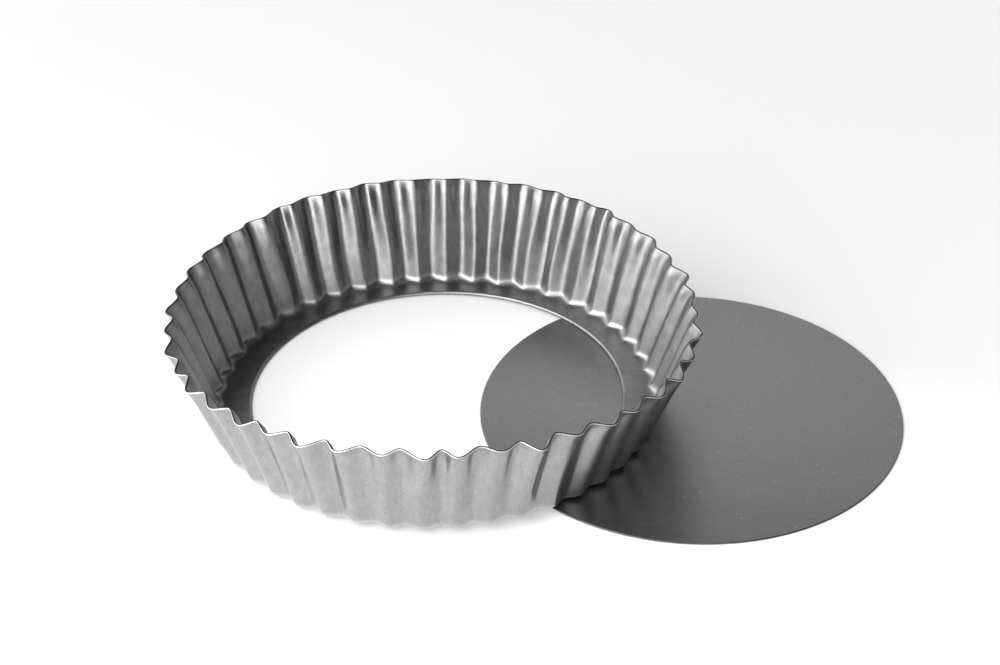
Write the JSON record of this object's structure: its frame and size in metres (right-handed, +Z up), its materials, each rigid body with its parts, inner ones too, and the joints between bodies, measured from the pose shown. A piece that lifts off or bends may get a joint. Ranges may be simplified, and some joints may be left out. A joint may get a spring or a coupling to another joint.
{
  "type": "loose-bottomed fluted pie dish",
  "caption": "Deep round baking dish with a fluted wall and a loose flat base plate, laid out with the plate drawn out from under the ring.",
  "frame": {"origin": "middle of the whole layout's outline, on the table under it", "axes": "+X from the fluted ring towards the base plate, +Z up, +Y completes the right-handed frame"},
  "size_m": [0.3466, 0.2478, 0.0533],
  "materials": {
    "plate_coating": "satin non-stick coating",
    "ring_coating": "satin metallic non-stick coating"
  },
  "bodies": {
    "plate": {"base_plate": "plate_coating"},
    "ring": {"fluted_ring": "ring_coating"}
  },
  "joints": [
    {"name": "ring_lift", "type": "slide", "parent": "plate", "child": "ring", "axis": [0, 0, 1], "range_m": [0, 0.06]}
  ]
}
